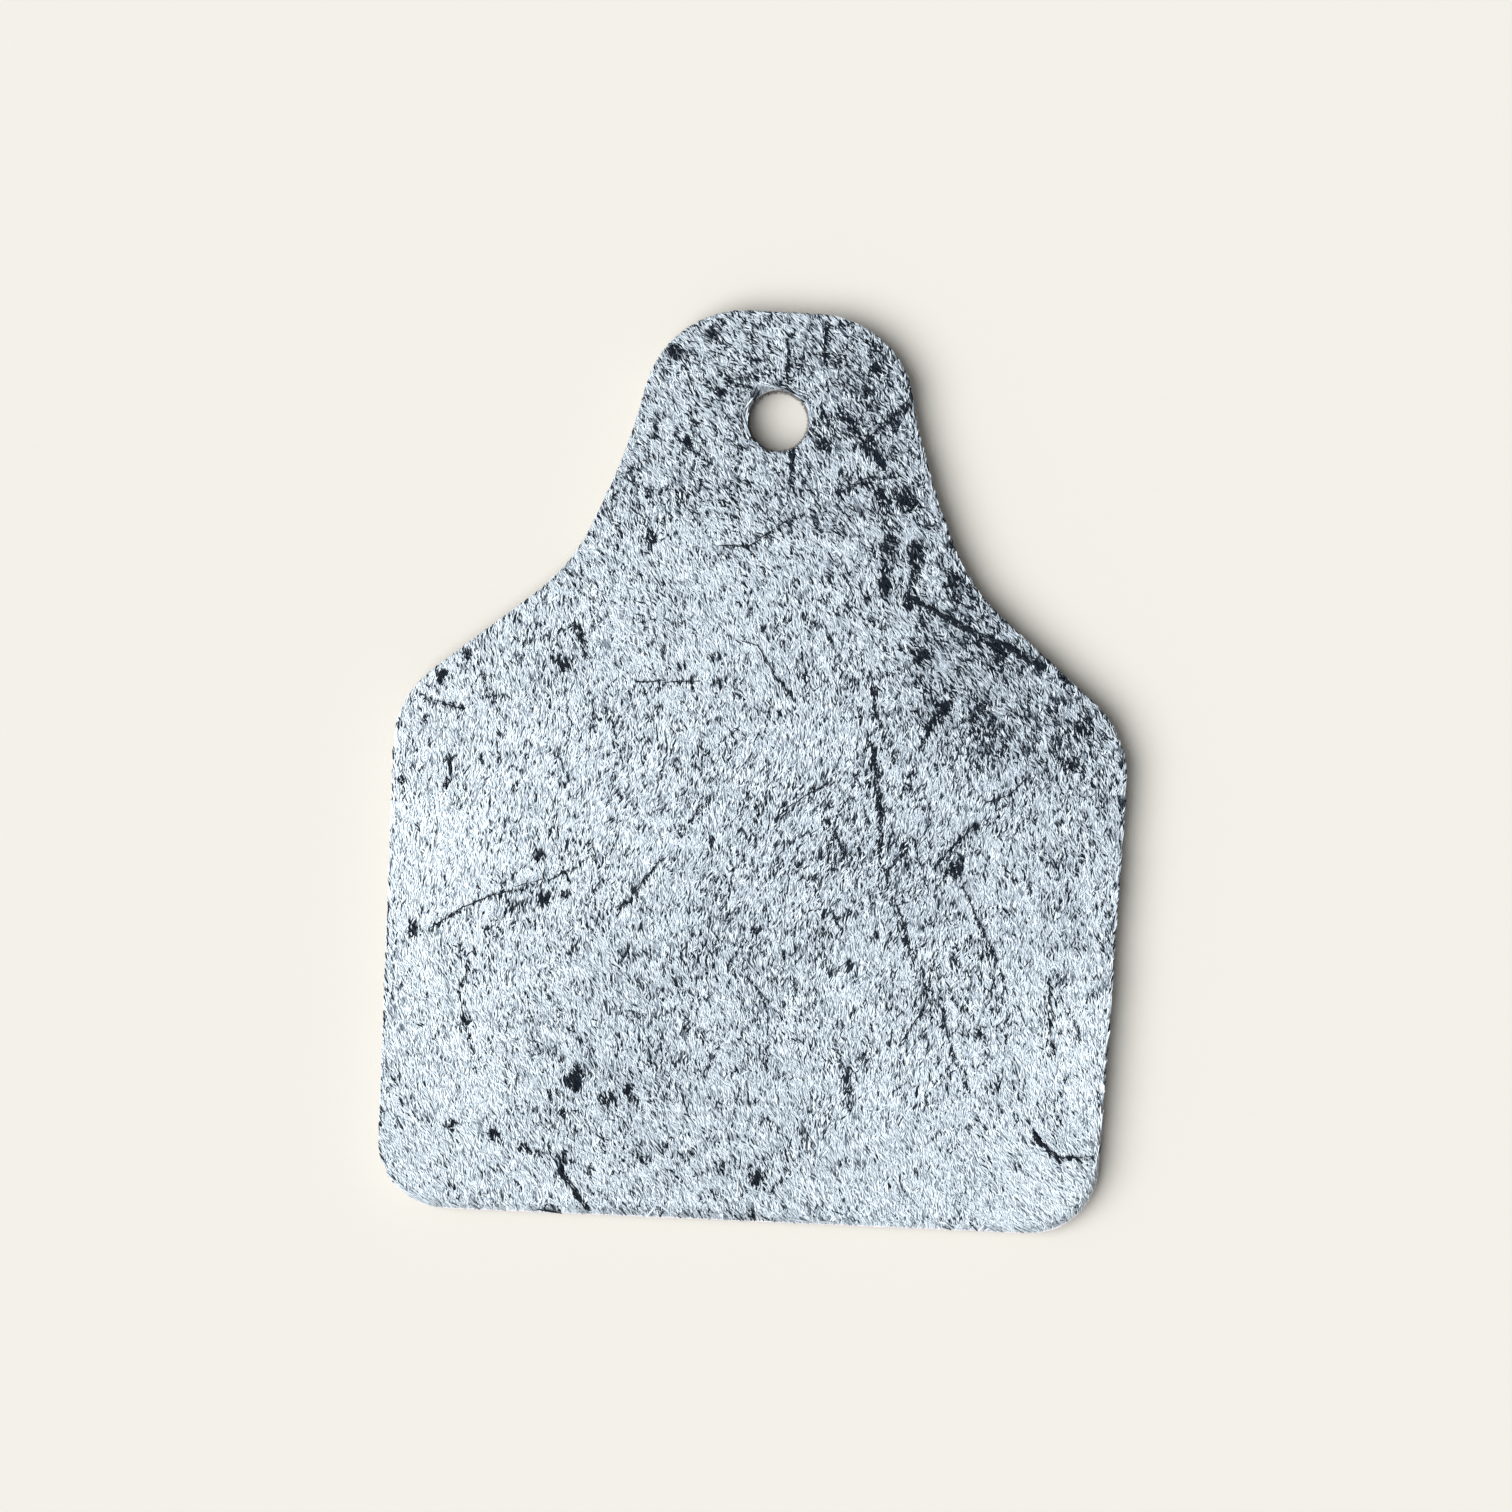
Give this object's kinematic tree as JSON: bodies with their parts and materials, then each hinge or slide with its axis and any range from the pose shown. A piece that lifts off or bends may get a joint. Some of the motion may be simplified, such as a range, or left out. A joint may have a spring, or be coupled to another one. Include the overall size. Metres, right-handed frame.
{
  "type": "hair-on hide tag blank",
  "caption": "Flat blank of short-haired cowhide in an ear-tag outline: square body with rounded corners, narrow neck and a punched hang hole.",
  "frame": {"origin": "under the middle of the outline, on the surface that the flesh side lies on", "axes": "+Y from the body to the neck, +Z from the flesh side to the hair side, +X to the right seen from the hair side with the neck away"},
  "size_m": [0.0762, 0.0948, 0.0034],
  "materials": {
    "suede_flesh": "napped suede, matte",
    "pale_skin": "cut edge, matte",
    "speckled_hair": "short lying hair, white to blue-black, soft sheen"
  },
  "bodies": {
    "root": {"corium": "suede_flesh", "grain_layer": "pale_skin", "hair_coat": "speckled_hair"}
  },
  "joints": []
}
